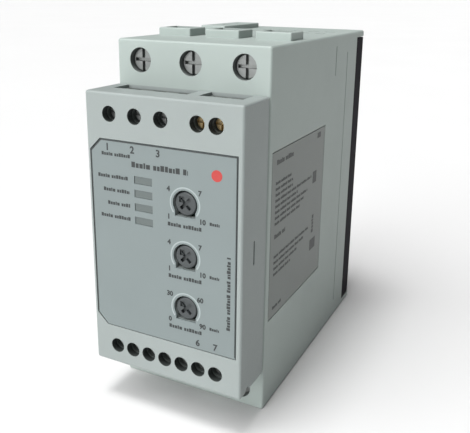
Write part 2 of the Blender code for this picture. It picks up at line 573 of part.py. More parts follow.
def make_heat_sink():
    sink = make_object(
        "heat_sink",
        boxes(((-SINK_OUTER_X, SINK_OUTER_X), (SINK_Y, BACK_Y), (SINK_MARGIN, HEIGHT - SINK_MARGIN))),
        "sink_black",
    )
    zs = (SINK_MARGIN - PAST, HEIGHT - SINK_MARGIN + PAST)
    sides = [((sign * SINK_INNER_X, sign * (SINK_OUTER_X + PAST)), (SINK_Y - PAST, SIDE_END_Y + GAP), zs)
             for sign in (-1, 1)]
    cut(sink, "housing walls", boxes(*sides))
    room = SINK_INNER_X - SINK_WALL
    gap = (2 * room - FINS * FIN_THICK) / (FINS + 1)
    starts = [-room + place * (gap + FIN_THICK) for place in range(FINS + 1)]
    gaps = [((x, x + gap), (SINK_Y + SINK_BASE, BACK_Y + PAST), zs) for x in starts]
    cut(sink, "fin gaps", boxes(*gaps))
    pocket_y = (RAIL_SEAT_Y - BRACKET_THICK - GAP, BACK_Y + PAST)
    cut(sink, "bracket pocket", boxes((around(0, BRACKET_X + GAP), pocket_y, wider(BRACKET_Z, GAP))))
    heights = (MODULE_SCREW_MARGIN, HEIGHT - MODULE_SCREW_MARGIN)
    holes = [(x, z) for x in (-MODULE_SCREW_X, MODULE_SCREW_X) for z in heights]
    cut(sink, "module screw holes", rods(holes, 1.5, (SINK_Y - PAST, SINK_Y + SINK_BASE - 0.6), COARSE))


def make_rail_bracket():
    plate_y = (RAIL_SEAT_Y - BRACKET_THICK, RAIL_SEAT_Y)
    bracket = make_object("rail_bracket", boxes((around(0, BRACKET_X), plate_y, BRACKET_Z)), "moulded_black")
    standing = (plate_y[0] + 0.4, HOOKS_Y)
    hook_low = RAIL_Z[1] - 0.2
    join(bracket, "hook", boxes((around(0, HOOK_X), standing, (hook_low, hook_low + 6.2))))
    join(bracket, "hook lip", boxes((around(0, HOOK_X), LIP_Y, (HEIGHT - LIP_REACH, hook_low + PAST))))
    rails, lips = [], []
    guide_z = (BRACKET_Z[0], RAIL_Z[0] - PAST)
    lip_y = (LATCH_STEP_Y + GAP, HOOKS_Y)
    for sign in (-1, 1):
        rails.append(((sign * (LATCH_X + GAP), sign * BRACKET_X), standing, guide_z))
        lips.append(((sign * (LATCH_BACK_X + GAP), sign * (LATCH_X + PAST)), lip_y, guide_z))
    join(bracket, "latch rails", boxes(*rails))
    join(bracket, "rail lips", boxes(*lips))
    stop_z = (SLOT_Z[0] + GAP, SPRING_Z[0] - GAP)
    join(bracket, "spring stop", boxes((around(0, SLOT_X - 0.6), (standing[0], SPRING_STOP_END_Y), stop_z)))


def make_rail_latch():
    """The latch slides down to let the rail go; the spring in its window brings it back."""
    plate = boxes((around(0, LATCH_X), (LATCH_Y[0], LATCH_STEP_Y), LATCH_Z))
    latch = make_object("rail_latch", plate, "moulded_black", origin=(0, SPRING_CENTRE_Y, LATCH_Z[0]))
    join(latch, "back", boxes((around(0, LATCH_BACK_X), (LATCH_STEP_Y - PAST, LATCH_Y[1]), LATCH_Z)))
    join(latch, "lip", boxes((around(0, LATCH_LIP_X), LIP_Y, (LATCH_Z[1] - PAST, LIP_REACH))))
    right_through = wider(LATCH_Y, PAST)
    cut(latch, "spring window", boxes((around(0, SLOT_X), right_through, SLOT_Z)))
    cut(latch, "driver slot", boxes((around(0, 2.5), right_through, (LATCH_Z[0] + 1.6, LATCH_Z[0] + 3.4))))


def make_latch_spring():
    low, high = SPRING_Z
    steps = 8 * SPRING_TURNS
    rise = high - low - 2 * SPRING_WIRE_R
    curve = bpy.data.curves.new("latch_spring", "CURVE")
    curve.dimensions = "3D"
    curve.bevel_depth = SPRING_WIRE_R * MM
    curve.bevel_resolution = 1
    curve.use_fill_caps = True
    spline = curve.splines.new("POLY")
    spline.points.add(steps)
    for step, point in enumerate(spline.points):
        angle = 2 * math.pi * SPRING_TURNS * step / steps
        height = low + SPRING_WIRE_R + rise * step / steps
        point.co = (SPRING_R * math.cos(angle) * MM, SPRING_R * math.sin(angle) * MM, height * MM, 1)
    spring = bpy.data.objects.new("latch_spring", curve)
    spring.location.y = SPRING_CENTRE_Y * MM
    curve.materials.append(materials["spring_steel"])
    parts.objects.link(spring)


def hang_on_frame():
    """Carries every piece, and every cutter with it, forward to the finished origin."""
    carrier = bpy.data.objects.new("carrier", None)
    bpy.context.scene.collection.objects.link(carrier)
    carrier.location.y = -MOUNT_DEPTH / 2 * MM
    for obj in [*parts.objects, *cutters.objects]:
        obj.parent = carrier


clear_scene()
parts = new_collection("motor_controller")
cutters = new_collection("cutters")
materials = {name: make_material(name) for name in COLOURS}

make_main_housing()
make_front_cover()
make_labels()
for end, is_load in both_ends():
    for pole_number, pole_x in POLES.items():
        make_power_terminal(end, is_load, pole_number, pole_x)
make_bus_bars()
make_control_terminals("supply_terminals", UPPER_THREE, False, "screw_steel")
make_control_terminals("start_terminals", UPPER_TWO, False, "screw_brass")
make_control_terminals("signal_terminals", LOWER_SEVEN, True, "screw_steel")
for dial_name, dial_z in DIAL_ZS.items():
    make_dial(dial_name, dial_z)
make_light_guide()
make_boards()
make_supply()
make_power_stage()
make_heat_sink()
make_rail_bracket()
make_rail_latch()
make_latch_spring()
hang_on_frame()
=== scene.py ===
"""Looks of the rail-mounted motor controller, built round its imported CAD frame.

The frame gives every place: X to the right, Y to the back, Z up, in metres. Sizes of printed and
moulded detail are in millimetres and pass through MM.
"""

import json
import math

import bmesh
import bpy
from mathutils import Matrix, Vector


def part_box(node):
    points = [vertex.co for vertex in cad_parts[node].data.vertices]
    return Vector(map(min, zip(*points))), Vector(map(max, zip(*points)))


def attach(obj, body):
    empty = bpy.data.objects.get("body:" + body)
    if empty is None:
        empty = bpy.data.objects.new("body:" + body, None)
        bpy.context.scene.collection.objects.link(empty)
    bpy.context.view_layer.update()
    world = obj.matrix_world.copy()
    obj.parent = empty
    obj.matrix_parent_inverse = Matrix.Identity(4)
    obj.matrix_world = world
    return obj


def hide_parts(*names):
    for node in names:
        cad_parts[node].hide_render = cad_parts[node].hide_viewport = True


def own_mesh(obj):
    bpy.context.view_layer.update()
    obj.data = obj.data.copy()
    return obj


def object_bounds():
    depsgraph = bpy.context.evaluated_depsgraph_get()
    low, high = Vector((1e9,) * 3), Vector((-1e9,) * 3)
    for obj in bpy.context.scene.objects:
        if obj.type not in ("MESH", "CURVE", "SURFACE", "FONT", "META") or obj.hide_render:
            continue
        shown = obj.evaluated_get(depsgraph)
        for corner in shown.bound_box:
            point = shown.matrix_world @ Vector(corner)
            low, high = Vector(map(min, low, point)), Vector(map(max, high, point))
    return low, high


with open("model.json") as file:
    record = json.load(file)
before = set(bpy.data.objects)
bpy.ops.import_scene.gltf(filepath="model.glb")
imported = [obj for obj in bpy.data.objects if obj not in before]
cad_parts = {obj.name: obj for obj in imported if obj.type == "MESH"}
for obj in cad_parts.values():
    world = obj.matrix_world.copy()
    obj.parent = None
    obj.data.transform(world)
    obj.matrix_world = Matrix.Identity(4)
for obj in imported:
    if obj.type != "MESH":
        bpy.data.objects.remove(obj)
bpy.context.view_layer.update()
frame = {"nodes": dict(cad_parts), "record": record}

MM = 0.001
ROOT = "controller"
POLES = (1, 2, 3)
DIALS = {"ramp_up": ("1", "4", "7", "10"), "ramp_down": ("1", "4", "7", "10"),
         "start_torque": ("0", "30", "60", "90")}  # and the numbers round each, clockwise
CONTROL_GROUPS = {"supply_terminals": 3, "start_terminals": 2, "signal_terminals": 7}
DIAL_REST_TURN = math.radians(45)  # anticlockwise from straight up, seen from the front

# Copies of CAD nodes
MERGE = 0.0005                   # corners closer than this are one corner
FLAT_ANGLE = math.radians(0.5)   # faces that turn less than this are one face
SHARP_ANGLE = 35                 # degrees; edges that turn more stay sharp in the shading
BEVEL_ANGLE = math.radians(50)   # edges that turn more are rounded

# Print
INK = 0.06            # depth of the ink, sunk in its label
SET_BACK = 0.03       # how far a label's face lies behind its ink
# Stand-in letters: widths and heights as shares of the line's height, in an order that repeats
LETTER_WIDTHS = (0.74, 0.58, 0.66, 0.36, 0.78, 0.62, 0.50)
LETTER_HEIGHTS = (1.0, 0.80, 0.80, 1.0, 0.80, 1.0, 0.80, 0.80, 1.0)
LETTER_GAP, WORD_GAP = 0.17, 0.5
WORD_LENGTHS = (5, 7, 4, 6)
DIGIT_FONT_SIZE = 1.35  # font size over the digit's height
DIGIT_BOLD = 0.075      # how far a digit's strokes are thickened

# Face label: stand-in lines as (start and end from the left edge, middle from the top, height)
FACE_LINES = ((3.4, 12.4, 3.6, 0.9), (12.6, 29.0, 5.5, 1.45))
WINDOW_NAME_LENGTHS = (9.7, 8.1, 6.9, 9.2)
# The numbers' places from the dial's middle, and the pale arc's radius, width and end in degrees
SCALE_PLACES = ((-4.7, -3.9), (-4.7, 3.3), (4.2, 3.3), (4.9, -3.9))
SCALE_RADIUS, SCALE_WIDTH, SCALE_END = 3.95, 0.38, 128

# Side label, from its upper front corner
SIDE_LINE_START = 2.6
SIDE_PARAGRAPHS = (  # middle of the first line, step to the next, lengths of the lines
    (-8.6, 1.6, (11, 12, 12, 27, 16, 24, 21, 18)),
    (-29.2, 1.7, (26, 22, 17, 12)),
)

# Turned pieces
CUT_PAST = 1.0  # how far a cutter stands out of what it cuts
POWER_SCREW = dict(shank=2.0, pitch=0.7, head_length=2.2, slot_width=0.9, slot_depth=1.2)
CONTROL_SCREW = dict(shank=1.25, pitch=0.5, head_length=1.5, slot_width=0.6, slot_depth=0.8, segments=32)
CROSS_SHARE = 0.62      # the short arm of a screw's cross over its slot
RINGS_PER_TURN = 6      # of a thread
DIAL_SLOT, DIAL_ARM, DIAL_SLOT_DEPTH = 0.45, 1.9, 0.9  # half width, reach and depth of its cross
ARROW_MIDDLE, ARROW_HALF, ARROW_DEPTH = 1.45, 0.75, 0.5

# Finishing
CONTROL_SHADE_REACH, POWER_SHADE_REACH = 2.3, 3.5  # reach of the painted shade round the screws' axes
CLAMP_EDGE = 0.2
PANE_GROWTH = 0.2


# Places from the frame

def box_mm(node):
    """Lowest and highest corner of a CAD node, in millimetres."""
    low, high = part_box(node)
    return low / MM, high / MM


def middle_mm(node):
    low, high = box_mm(node)
    return (low + high) / 2


slots = {part["node"]: part["material_slot"] for part in frame["record"]["subparts"]}
bodies = frame["record"]["behaviour"]["bodies"]
body_of = {node: body for body, nodes in bodies.items() for node in nodes}


# Materials

def texture_space(tree, stretch):
    """The object's own coordinates, in metres, pressed or stretched along each axis."""
    coordinates = tree.nodes.new("ShaderNodeTexCoord")
    mapping = tree.nodes.new("ShaderNodeMapping")
    mapping.inputs["Scale"].default_value = stretch
    tree.links.new(coordinates.outputs["Object"], mapping.inputs["Vector"])
    return mapping.outputs["Vector"]


def noise(tree, space, scale, detail=2.0):
    texture = tree.nodes.new("ShaderNodeTexNoise")
    texture.inputs["Scale"].default_value = scale
    texture.inputs["Detail"].default_value = detail
    tree.links.new(space, texture.inputs["Vector"])
    return texture.outputs["Fac"]


def spread(tree, value, low, high):
    """Maps the useful middle of a noise value to a range."""
    mapped = tree.nodes.new("ShaderNodeMapRange")
    mapped.inputs["From Min"].default_value = 0.3
    mapped.inputs["From Max"].default_value = 0.7
    mapped.inputs["To Min"].default_value = low
    mapped.inputs["To Max"].default_value = high
    tree.links.new(value, mapped.inputs["Value"])
    return mapped.outputs["Result"]


def blend_colours(tree, factor, first, second):
    mix = tree.nodes.new("ShaderNodeMix")
    mix.data_type = "RGBA"
    mix.inputs["A"].default_value = (*first, 1.0)
    mix.inputs["B"].default_value = (*second, 1.0)
    tree.links.new(factor, mix.inputs["Factor"])
    return mix.outputs["Result"]


def shade(colour, factor):
    return tuple(min(1.0, channel * factor) for channel in colour)


def surface(name, colour, roughness, metallic=0.0, *, tint=0.05, patch=70.0, grain=2600.0,
            bump=0.12, relief=0.03, stretch=(1, 1, 1), gloss_spread=0.05, coat=0.0, shine=0.5):
    """A Principled surface whose colour wanders over patches, and whose grain lifts and dulls it."""
    material = bpy.data.materials.new(name)
    material.use_nodes = True
    tree = material.node_tree
    shader = tree.nodes["Principled BSDF"]
    shader.inputs["Metallic"].default_value = metallic
    shader.inputs["Coat Weight"].default_value = coat
    shader.inputs["Specular IOR Level"].default_value = shine
    space = texture_space(tree, stretch)
    patches = noise(tree, space, patch, 4.0)
    grains = noise(tree, space, grain, 3.0)
    dark, light = shade(colour, 1 - tint), shade(colour, 1 + tint)
    tinted = blend_colours(tree, spread(tree, patches, 0, 1), dark, light)
    tree.links.new(tinted, shader.inputs["Base Color"])
    gloss = spread(tree, grains, roughness - gloss_spread, roughness + gloss_spread)
    tree.links.new(gloss, shader.inputs["Roughness"])
    lift = tree.nodes.new("ShaderNodeBump")
    lift.inputs["Strength"].default_value = bump
    lift.inputs["Distance"].default_value = relief * MM
    tree.links.new(grains, lift.inputs["Height"])
    tree.links.new(lift.outputs["Normal"], shader.inputs["Normal"])
    return material


def circuit_board(name, colour, copper_shade):
    """Solder mask over tracks: one set of distorted diagonal bands shows as a lighter green."""
    material = surface(name, colour, 0.35, grain=1500.0, bump=0.05)
    tree = material.node_tree
    shader = tree.nodes["Principled BSDF"]
    bands = tree.nodes.new("ShaderNodeTexWave")
    bands.wave_type = "BANDS"
    bands.bands_direction = "DIAGONAL"
    bands.inputs["Scale"].default_value = 160.0
    bands.inputs["Distortion"].default_value = 6.0
    tree.links.new(texture_space(tree, (1, 1, 1)), bands.inputs["Vector"])
    tracks = blend_colours(tree, spread(tree, bands.outputs["Fac"], 0, 1), colour, copper_shade)
    tree.links.new(tracks, shader.inputs["Base Color"])
    return material


ALONG_Z = (1.0, 1.0, 0.02)  # draws grain out into lines that run up the object
PLASTIC = dict(tint=0.025, grain=2600.0, bump=0.16, relief=0.03, gloss_spread=0.05)
METAL = dict(tint=0.08, patch=400.0, grain=5000.0, bump=0.10, relief=0.01, gloss_spread=0.08)

materials = {
    "housing_grey": surface("moulded housing plastic", (0.340, 0.390, 0.370), 0.50, shine=0.25,
                            **PLASTIC),
    "cover_grey": surface("moulded cover plastic", (0.268, 0.300, 0.293), 0.48, shine=0.3, **PLASTIC),
    "label_silver": surface("printed face foil", (0.174, 0.208, 0.208), 0.38, tint=0.02, grain=6000.0,
                            bump=0.05, relief=0.01, coat=0.1),
    "side_label_grey": surface("printed side foil", (0.178, 0.197, 0.186), 0.46, tint=0.02,
                               grain=5000.0, bump=0.05, relief=0.01, shine=0.35),
    "sink_black": surface("black anodised extrusion", (0.008, 0.006, 0.010), 0.60, tint=0.15, shine=0.04,
                          patch=300.0, grain=3500.0, bump=0.25, relief=0.02, stretch=ALONG_Z),
    "dial_grey": surface("dial plastic", (0.045, 0.052, 0.054), 0.42, tint=0.08, grain=4000.0,
                         bump=0.10),
    "window_grey": surface("smoked window", (0.100, 0.121, 0.118), 0.30, tint=0.03, grain=3000.0,
                           bump=0.03, gloss_spread=0.03, coat=0.2),
    "screw_steel": surface("zinc plated screw", (0.22, 0.23, 0.225), 0.50, 1.0, **METAL),
    "screw_brass": surface("dull brass screw", (0.42, 0.32, 0.17), 0.38, 1.0, **METAL),
    "clamp_zinc": surface("zinc plated clamp", (0.56, 0.56, 0.54), 0.36, 1.0, **METAL),
    "copper": surface("dull copper", (0.72, 0.40, 0.26), 0.34, 1.0, **METAL),
    # Terminal blocks: partly their own dark plastic, partly painted shade, darkened for the blocks deep
    # in the screw holes.
    "terminal_grey": surface("terminal block plastic with painted shade", (0.10, 0.115, 0.108), 0.52, **PLASTIC),
    "board_green": circuit_board("solder mask", (0.02, 0.11, 0.05), (0.05, 0.20, 0.09)),
    "trimmer_blue": surface("trimmer case", (0.03, 0.10, 0.34), 0.30, tint=0.05, grain=3000.0,
                            bump=0.05),
    "moulded_black": surface("black moulded plastic", (0.022, 0.022, 0.023), 0.44, tint=0.12,
                             grain=2600.0, bump=0.2, relief=0.03),
    "relay_white": surface("relay case", (0.55, 0.55, 0.51), 0.42, **PLASTIC),
    "spring_steel": surface("spring wire", (0.52, 0.52, 0.52), 0.28, 1.0, **METAL),
    "sleeve_blue": surface("capacitor sleeve", (0.03, 0.05, 0.18), 0.25, tint=0.05, grain=2000.0,
                           bump=0.04),
    # Painted shade: these two darker materials go on the walls of the screw bores, where shade falls in
    # the holes.
    "bore_shade": surface("painted shade in control screw bores", (0.045, 0.052, 0.050), 0.55, shine=0.2, **PLASTIC),
    "wide_bore_shade": surface("painted shade in power screw bores", (0.14, 0.155, 0.15), 0.5, shine=0.3, **PLASTIC),
    "ink_dark": surface("dark ink", (0.022, 0.026, 0.026), 0.5, tint=0.10, grain=5000.0, bump=0.03),
    "ink_pale": surface("pale ink", (0.31, 0.355, 0.355), 0.5, tint=0.03, grain=5000.0, bump=0.03),
    "ink_red": surface("red ink", (0.40, 0.035, 0.03), 0.45, tint=0.08, grain=5000.0, bump=0.03),
}


# Pieces

def add_piece(name, mesh, material, body=ROOT, replaced=None):
    """Links a finished mesh as a piece of the object that moves with one CAD body."""
    obj = bpy.data.objects.new(name, mesh)
    bpy.context.scene.collection.objects.link(obj)
    mesh.materials.clear()
    mesh.materials.append(materials[material])
    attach(obj, body)
    if replaced:
        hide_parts(replaced)
    return obj


def smooth(mesh):
    mesh.shade_smooth()
    mesh.set_sharp_from_angle(angle=math.radians(SHARP_ANGLE))


def mesh_from(name, bm):
    mesh = bpy.data.meshes.new(name)
    bmesh.ops.recalc_face_normals(bm, faces=bm.faces)
    bm.to_mesh(mesh)
    bm.free()
    smooth(mesh)
    return mesh


def round_edges(obj, width):
    """Rounds the hard edges and keeps the flat faces flat in the shading."""
    bevel = obj.modifiers.new("rounded edges", "BEVEL")
    bevel.width = width * MM
    bevel.segments = 2
    bevel.limit_method = "ANGLE"
    bevel.angle_limit = BEVEL_ANGLE
    bevel.miter_outer = "MITER_SHARP"
    bevel.use_clamp_overlap = True
    keep_flat(obj)


def keep_flat(obj):
    weighted = obj.modifiers.new("flat faces", "WEIGHTED_NORMAL")
    weighted.keep_sharp = True


def cad_copy(node):
    """A CAD node's mesh with its corners joined and its flat faces whole, ready for finer edges."""
    bm = bmesh.new()
    bm.from_mesh(frame["nodes"][node].data)
    bmesh.ops.remove_doubles(bm, verts=bm.verts, dist=MERGE * MM)
    bmesh.ops.dissolve_limit(bm, angle_limit=FLAT_ANGLE, verts=bm.verts, edges=bm.edges)
    return bm


def shade_funnels(piece, screws, reach, painted_shade):
    """Paints shade on the walls round the screws' axes, out to the reach, as a darker second material.
    """
    centres = [middle_mm(screw) for screw in screws]
    mesh = piece.data
    mesh.materials.append(materials[painted_shade])
    for face in mesh.polygons:
        middle = face.center / MM
        near = any(math.hypot(middle.x - c.x, middle.z - c.z) < reach for c in centres)
        if near and abs(face.normal.y) < 0.5:
            face.material_index = 1


def finish_node(node, width):
    """Puts a copy with rounded edges in a CAD node's place."""
    mesh = mesh_from(f"{node}_finished", cad_copy(node))
    piece = add_piece(f"{node}_finished", mesh, slots[node], body_of[node], replaced=node)
    if width:
        round_edges(piece, width)
    else:
        keep_flat(piece)
    return piece


def make_spring():
    """The latch's spring, as a flat-shaded copy with a mesh of its own."""
    spring = finish_node("latch_spring", 0)
    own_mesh(spring)


# Print on the labels

class Print:
    """Printed shapes on a plane: u to the right, v up, both in millimetres, w out of the plane."""

    def __init__(self, place):
        self.bm = bmesh.new()
        self.place = place

    def shape(self, outline):
        """A closed outline, given anticlockwise, as a thin solid."""
        front = [self.bm.verts.new((u, v, 0)) for u, v in outline]
        back = [self.bm.verts.new((u, v, -INK)) for u, v in outline]
        self.bm.faces.new(front)
        self.bm.faces.new(back[::-1])
        for i, j in zip(range(len(outline)), [*range(1, len(outline)), 0]):
            self.bm.faces.new((front[j], front[i], back[i], back[j]))

    def bar(self, us, vs):
        self.shape([(us[0], vs[0]), (us[1], vs[0]), (us[1], vs[1]), (us[0], vs[1])])

    def words(self, start, end, middle, height, upright=False):
        """Stand-in text from start to end: words of blocks whose widths and heights vary by a rule."""
        base = middle - height / 2
        at, letter, word, left = start, 0, 0, WORD_LENGTHS[0]
        while at < end:
            width = height * LETTER_WIDTHS[letter % len(LETTER_WIDTHS)]
            top = base + height * LETTER_HEIGHTS[(letter + word) % len(LETTER_HEIGHTS)]
            along, across = (at, min(at + width, end)), (base, top)
            if upright:
                along, across = (2 * middle - top, 2 * middle - base), along
            self.bar(along, across)
            at += width + height * LETTER_GAP
            letter, left = letter + 1, left - 1
            if not left:
                word += 1
                left = WORD_LENGTHS[word % len(WORD_LENGTHS)]
                at += height * WORD_GAP

    def number(self, text, u, v, size):
        """Digits in Blender's own font, centred on a point."""
        curve = bpy.data.curves.new("digits", "FONT")
        curve.body = text
        curve.size = size * DIGIT_FONT_SIZE
        curve.align_x, curve.align_y = "CENTER", "CENTER"
        curve.extrude = INK / 2
        curve.offset = DIGIT_BOLD
        curve.resolution_u = 3
        helper = bpy.data.objects.new("digits", curve)
        bpy.context.scene.collection.objects.link(helper)
        graph = bpy.context.evaluated_depsgraph_get()
        mesh = bpy.data.meshes.new_from_object(helper.evaluated_get(graph))
        mesh.transform(Matrix.Translation((u, v, -INK / 2)))
        self.bm.from_mesh(mesh)
        bpy.data.meshes.remove(mesh)
        bpy.data.objects.remove(helper)

    def arc(self, u, v, radius, width, start, end, steps=36):
        """Part of a ring; the angles run clockwise from straight up, in degrees."""
        turns = [math.radians(start + (end - start) * i / steps) for i in range(steps + 1)]
        rim = radius + width
        outer = [(u + rim * math.sin(t), v + rim * math.cos(t)) for t in turns[::-1]]
        inner = [(u + radius * math.sin(t), v + radius * math.cos(t)) for t in turns]
        self.shape(outer + inner)

    def disc(self, u, v, radius, steps=32):
        turns = [2 * math.pi * i / steps for i in range(steps)]
        self.shape([(u + radius * math.cos(t), v + radius * math.sin(t)) for t in turns])

    def piece(self, name, material):
        bmesh.ops.remove_doubles(self.bm, verts=self.bm.verts, dist=0.0001)
        self.bm.transform(self.place @ Matrix.Scale(MM, 4))
        return add_piece(name, mesh_from(name, self.bm), material)


def plane(origin, across, up):
    """Maps (u, v, w) in millimetres to the frame; w points out of the plane."""
    u, v = Vector(across), Vector(up)
    turn = Matrix((u, v, u.cross(v))).transposed().to_4x4()
    return Matrix.Translation(Vector(origin) * MM) @ turn


def label_plate(node, axis, outside):
    """A label whose printed face lies just behind the CAD face, so that the ink ends on it."""
    low, high = box_mm(node)
    face = low[axis] if outside < 0 else high[axis]
    bm = cad_copy(node)
    for vertex in bm.verts:
        if abs(vertex.co[axis] / MM - face) < SET_BACK:
            vertex.co[axis] -= outside * SET_BACK * MM
    piece = add_piece(f"{node}_plate", mesh_from(f"{node}_plate", bm), slots[node], replaced=node)
    keep_flat(piece)


def widen_panes(guide, plate_depth=2.2):
    """The indicator panes grow almost to the edges of their windows, in front of the guide's plate."""
    plate_front = box_mm("front_cover")[0].y + plate_depth
    centre_x = middle_mm("light_guide").x
    heights = window_heights()
    for vertex in guide.data.vertices:
        at = vertex.co / MM
        if at.y > plate_front:
            continue
        height = min(heights, key=lambda z: abs(z - at.z))
        vertex.co.x += math.copysign(PANE_GROWTH, at.x - centre_x) * MM
        vertex.co.z += math.copysign(PANE_GROWTH, at.z - height) * MM


def make_face_print():
    """Outline, stand-in lettering, dial scales and terminal numbers on the face label."""
    label_plate("face_label", 1, -1)
    low, high = box_mm("face_label")
    front = plane((0, low.y, 0), (1, 0, 0), (0, 0, 1))
    dark, pale, red = Print(front), Print(front), Print(front)

    draw_outline(dark, low, high)
    top = high.z
    for number in (1, 2, 3):
        dark.number(str(number), middle_mm(f"supply_terminals_screw_{number}").x - 0.9, top - 1.9, 1.9)
    for start, end, drop, height in FACE_LINES:
        dark.words(low.x + start, low.x + end, top - drop, height)
    red.disc(high.x - 5.4, top - 5.2, 1.45)
    dark.words(31.0, high.z - 25.2, high.x - 2.0, 1.0, upright=True)
    for number in (6, 7):
        dark.number(str(number), middle_mm(f"signal_terminals_screw_{number}").x, low.z + 1.6, 1.8)

    draw_window_names(dark)
    for dial, marks in DIALS.items():
        draw_scale(dark, pale, dial, marks)
    dark.piece("face_print_dark", "ink_dark")
    pale.piece("face_print_pale", "ink_pale")
    red.piece("face_mark", "ink_red")


def draw_outline(ink, low, high, inset=0.02, width=0.22, chamfer=3.2):
    """A thin line inside the label's edge: up the right side, along the top and down the left."""
    def corners(margin):
        left, right, top = low.x + margin, high.x - margin, high.z - margin
        cut = chamfer - margin * math.tan(math.radians(22.5))
        return [(right, low.z + 0.4), (right, top), (left + cut, top), (left, top - cut),
                (left, low.z + margin + cut)]
    ink.shape(corners(inset) + corners(inset + width)[::-1])


def window_heights(rows=4, margin=1.6):
    """Middles of the indicator windows, from the top; the guide reaches past them by the margin."""
    low, high = box_mm("light_guide")
    pitch = (high.z - low.z - 2 * margin) / (rows - 1)
    return [high.z - margin - row * pitch for row in range(rows)]


def draw_window_names(ink):
    right = box_mm("light_guide")[0].x - 1.3
    for height, length in zip(window_heights(), WINDOW_NAME_LENGTHS):
        ink.words(right - length, right, height, 0.95)


def draw_scale(dark, pale, dial, marks):
    """A pale arc round the dial, four numbers outside it, a unit and a name below."""
    centre = middle_mm(f"{dial}_dial")
    u, v = centre.x, centre.z
    pale.arc(u, v, SCALE_RADIUS, SCALE_WIDTH, -SCALE_END, SCALE_END)
    for text, (du, dv) in zip(marks, SCALE_PLACES):
        dark.number(text, u + du, v + dv, 1.35)
    dark.words(u + 6.9, u + 9.6, v - 3.9, 0.8)
    dark.words(u - 5.0, u + 4.6, v - 5.8, 1.0)


def make_side_print():
    """Stand-in text on the rating label of the right side: paragraphs, a square and a short bar."""
    label_plate("side_label", 0, 1)
    low, high = box_mm("side_label")
    side = plane((high.x, low.y, high.z), (0, 1, 0), (0, 0, 1))
    dark = Print(side)
    dark.words(3.0, 14.5, -3.0, 1.3)
    dark.bar((33.6, 36.4), (-2.6, -1.0))
    dark.bar((31.0, 34.0), (-16.0, -12.4))
    dark.words(SIDE_LINE_START, 10.0, -23.4, 1.2)
    for first, step, lengths in SIDE_PARAGRAPHS:
        for line, length in enumerate(lengths):
            dark.words(SIDE_LINE_START, SIDE_LINE_START + length, first - step * line, 0.8)
    dark.words(-32.0, -26.0, 32.4, 1.5, upright=True)
    dark.bar((30.8, 35.4), (-37.6, -34.2))
    dark.words(SIDE_LINE_START, 8.6, -44.2, 0.9)
    dark.piece("side_print", "ink_dark")


# Turned pieces

def turned(bm, centre, front, radius_at, depths, segments):
    """A closed round solid along Y: one ring for each depth behind the front, capped at both ends."""
    rings = []
    for depth in depths:
        ring = []
        for i in range(segments):
            angle = 2 * math.pi * i / segments
            radius = radius_at(depth, i / segments)
            ring.append(bm.verts.new(((centre.x + radius * math.cos(angle)) * MM, (front + depth) * MM,
                                      (centre.z + radius * math.sin(angle)) * MM)))
        rings.append(ring)
    for near, far in zip(rings, rings[1:]):
        for i in range(segments):
            j = (i + 1) % segments
            bm.faces.new((near[i], near[j], far[j], far[i]))
    bm.faces.new(rings[0][::-1])
    bm.faces.new(rings[-1])


def carve(obj, name, spans, place):
    """Cuts a box, given by its spans in millimetres round a local origin, and applies the result."""
    bm = bmesh.new()
    made = bmesh.ops.create_cube(bm, size=1.0)["verts"]
    bmesh.ops.scale(bm, vec=[high - low for low, high in spans], verts=made)
    bmesh.ops.translate(bm, vec=[(low + high) / 2 for low, high in spans], verts=made)
    bm.transform(place @ Matrix.Scale(MM, 4))
    mesh = bpy.data.meshes.new(name)
    bm.to_mesh(mesh)
    bm.free()
    cutter = bpy.data.objects.new(name, mesh)
    bpy.context.scene.collection.objects.link(cutter)
    boolean = obj.modifiers.new(name, "BOOLEAN")
    boolean.operation = "DIFFERENCE"
    boolean.solver = "EXACT"
    boolean.object = cutter
    graph = bpy.context.evaluated_depsgraph_get()
    carved = bpy.data.meshes.new_from_object(obj.evaluated_get(graph))
    obj.modifiers.remove(boolean)
    bpy.data.objects.remove(cutter)
    obj.data = carved
    smooth(carved)


def make_screw(node, shank, pitch, head_length, slot_width, slot_depth, segments=40):
    """A cheese-head screw with a threaded shank, and a slot and cross in its head."""
    low, high = box_mm(node)
    centre, head = (low + high) / 2, (high.x - low.x) / 2
    length = high.y - low.y
    rim, tip, ridge = 0.25, 0.4, 0.16 * pitch

    def radius_at(depth, turn):
        if depth <= rim:
            return head - rim + math.sqrt(max(0.0, rim ** 2 - (rim - depth) ** 2))
        if depth <= head_length:
            return head
        if depth > length - tip:
            return shank - ridge - 0.5 * (depth - length + tip)
        return shank - ridge * (1 - math.cos(2 * math.pi * (depth / pitch - turn))) / 2

    depths = [rim * step / 4 for step in range(5)] + [head_length]
    count = int((length - tip - head_length) / pitch * RINGS_PER_TURN)
    under = head_length + 0.001
    depths += [under + (length - tip - under) * step / count for step in range(count + 1)] + [length]
    bm = bmesh.new()
    turned(bm, centre, low.y, radius_at, depths, segments)
    screw = add_piece(f"{node}_finished", mesh_from(node, bm), slots[node], body_of[node], replaced=node)
    place = Matrix.Translation(Vector((centre.x, low.y, centre.z)) * MM)
    half, reach = slot_width / 2, head + CUT_PAST
    slot = ((-half, half), (-CUT_PAST, slot_depth), (-reach, reach))
    cross = ((-CROSS_SHARE * reach, CROSS_SHARE * reach), (-CUT_PAST, slot_depth), (-half, half))
    carve(screw, f"{node} slot", slot, place)
    carve(screw, f"{node} cross", cross, place)
    keep_flat(screw)


